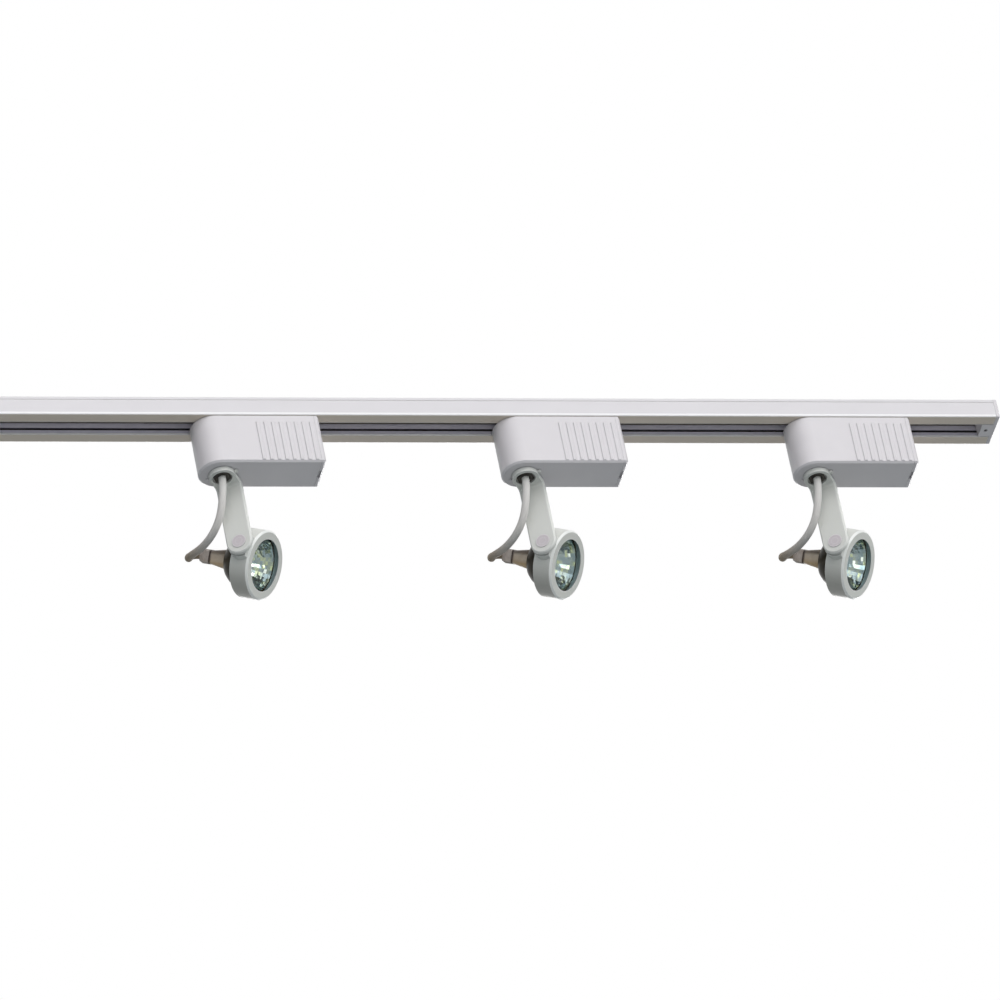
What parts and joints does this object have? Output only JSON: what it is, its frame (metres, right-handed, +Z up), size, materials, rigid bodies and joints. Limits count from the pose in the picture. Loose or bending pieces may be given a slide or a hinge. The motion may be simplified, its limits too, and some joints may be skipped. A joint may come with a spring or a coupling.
{
  "type": "track lighting fixture",
  "caption": "Straight surface-mounted lighting track with low-voltage spot heads that slide, swivel and tilt, each a transformer box with a bent arm and a gimbal-ring reflector lamp.",
  "frame": {"origin": "centre of the track's ceiling face, half-way along the extruded channel", "axes": "+X along the track to the capped end, +Y to the wall side away from the viewer, +Z up to the ceiling"},
  "size_m": [0.9676, 0.0905, 0.1533],
  "materials": {
    "track_enamel": "white enamel, satin",
    "insulator": "grey-violet extruded plastic",
    "copper": "bare copper",
    "white_plastic": "white moulded plastic, satin",
    "steel": "zinc-plated",
    "contact_brass": "bare brass",
    "potting": "black potting",
    "head_enamel": "off-white enamel on die-cast metal, satin",
    "rivet_enamel": "off-white enamel, satin",
    "washer": "dark nylon",
    "sleeve": "woven glass-fibre sleeve",
    "reflector": "faceted dichroic mirror",
    "front_glass": "clear",
    "quartz": "clear quartz",
    "ceramic": "unglazed white ceramic",
    "boot": "soft white silicone"
  },
  "bodies": {
    "track": {"track_channel": "track_enamel", "insulator_strips": "insulator", "bus_bars": "copper", "end_cap": "white_plastic", "live_end_feed": "white_plastic", "end_screws": "steel"},
    "head_1": {"transformer_housing_1": "white_plastic", "housing_end_cover_1": "white_plastic", "track_adapter_1": "white_plastic", "adapter_contacts_1": "contact_brass", "transformer_1": "potting", "swivel_nipple_1": "steel", "swivel_nuts_1": "steel"},
    "arm_1": {"arm_1": "head_enamel", "pivot_rivet_1": "rivet_enamel", "friction_washer_1": "washer", "lamp_cable_1": "sleeve"},
    "lamp_1": {"gimbal_ring_1": "head_enamel", "lamp_clips_1": "steel", "lamp_reflector_1": "reflector", "lamp_glass_1": "front_glass", "lamp_capsule_1": "quartz", "lampholder_1": "ceramic", "lead_boot_1": "boot"},
    "head_2": {"transformer_housing_2": "white_plastic", "housing_end_cover_2": "white_plastic", "track_adapter_2": "white_plastic", "adapter_contacts_2": "contact_brass", "transformer_2": "potting", "swivel_nipple_2": "steel", "swivel_nuts_2": "steel"},
    "arm_2": {"arm_2": "head_enamel", "pivot_rivet_2": "rivet_enamel", "friction_washer_2": "washer", "lamp_cable_2": "sleeve"},
    "lamp_2": {"gimbal_ring_2": "head_enamel", "lamp_clips_2": "steel", "lamp_reflector_2": "reflector", "lamp_glass_2": "front_glass", "lamp_capsule_2": "quartz", "lampholder_2": "ceramic", "lead_boot_2": "boot"},
    "head_3": {"transformer_housing_3": "white_plastic", "housing_end_cover_3": "white_plastic", "track_adapter_3": "white_plastic", "adapter_contacts_3": "contact_brass", "transformer_3": "potting", "swivel_nipple_3": "steel", "swivel_nuts_3": "steel"},
    "arm_3": {"arm_3": "head_enamel", "pivot_rivet_3": "rivet_enamel", "friction_washer_3": "washer", "lamp_cable_3": "sleeve"},
    "lamp_3": {"gimbal_ring_3": "head_enamel", "lamp_clips_3": "steel", "lamp_reflector_3": "reflector", "lamp_glass_3": "front_glass", "lamp_capsule_3": "quartz", "lampholder_3": "ceramic", "lead_boot_3": "boot"}
  },
  "joints": [
    {"name": "track_slide_1", "type": "slide", "parent": "track", "child": "head_1", "axis": [1, 0, 0], "range_m": [-0.18, 0.035]},
    {"name": "arm_swivel_1", "type": "hinge", "parent": "head_1", "child": "arm_1", "pos_m": [-0.2106, 0, -0.0664], "axis": [0, 0, 1], "range_deg": [-165, 165]},
    {"name": "lamp_tilt_1", "type": "hinge", "parent": "arm_1", "child": "lamp_1", "pos_m": [-0.19998, 0.01575, -0.1252], "axis": [0.5592, 0.829, 0], "range_deg": [-32, 58], "deforming": ["lamp_cable_1"]},
    {"name": "track_slide_2", "type": "slide", "parent": "track", "child": "head_2", "axis": [1, 0, 0], "range_m": [-0.035, 0.035]},
    {"name": "arm_swivel_2", "type": "hinge", "parent": "head_2", "child": "arm_2", "pos_m": [0.0458, 0, -0.0664], "axis": [0, 0, 1], "range_deg": [-165, 165]},
    {"name": "lamp_tilt_2", "type": "hinge", "parent": "arm_2", "child": "lamp_2", "pos_m": [0.05643, 0.01575, -0.1252], "axis": [0.5592, 0.829, 0], "range_deg": [-32, 58], "deforming": ["lamp_cable_2"]},
    {"name": "track_slide_3", "type": "slide", "parent": "track", "child": "head_3", "axis": [1, 0, 0], "range_m": [-0.035, 0.06]},
    {"name": "arm_swivel_3", "type": "hinge", "parent": "head_3", "child": "arm_3", "pos_m": [0.2961, 0, -0.0664], "axis": [0, 0, 1], "range_deg": [-165, 165]},
    {"name": "lamp_tilt_3", "type": "hinge", "parent": "arm_3", "child": "lamp_3", "pos_m": [0.30673, 0.01575, -0.1252], "axis": [0.5592, 0.829, 0], "range_deg": [-32, 58], "deforming": ["lamp_cable_3"]}
  ]
}
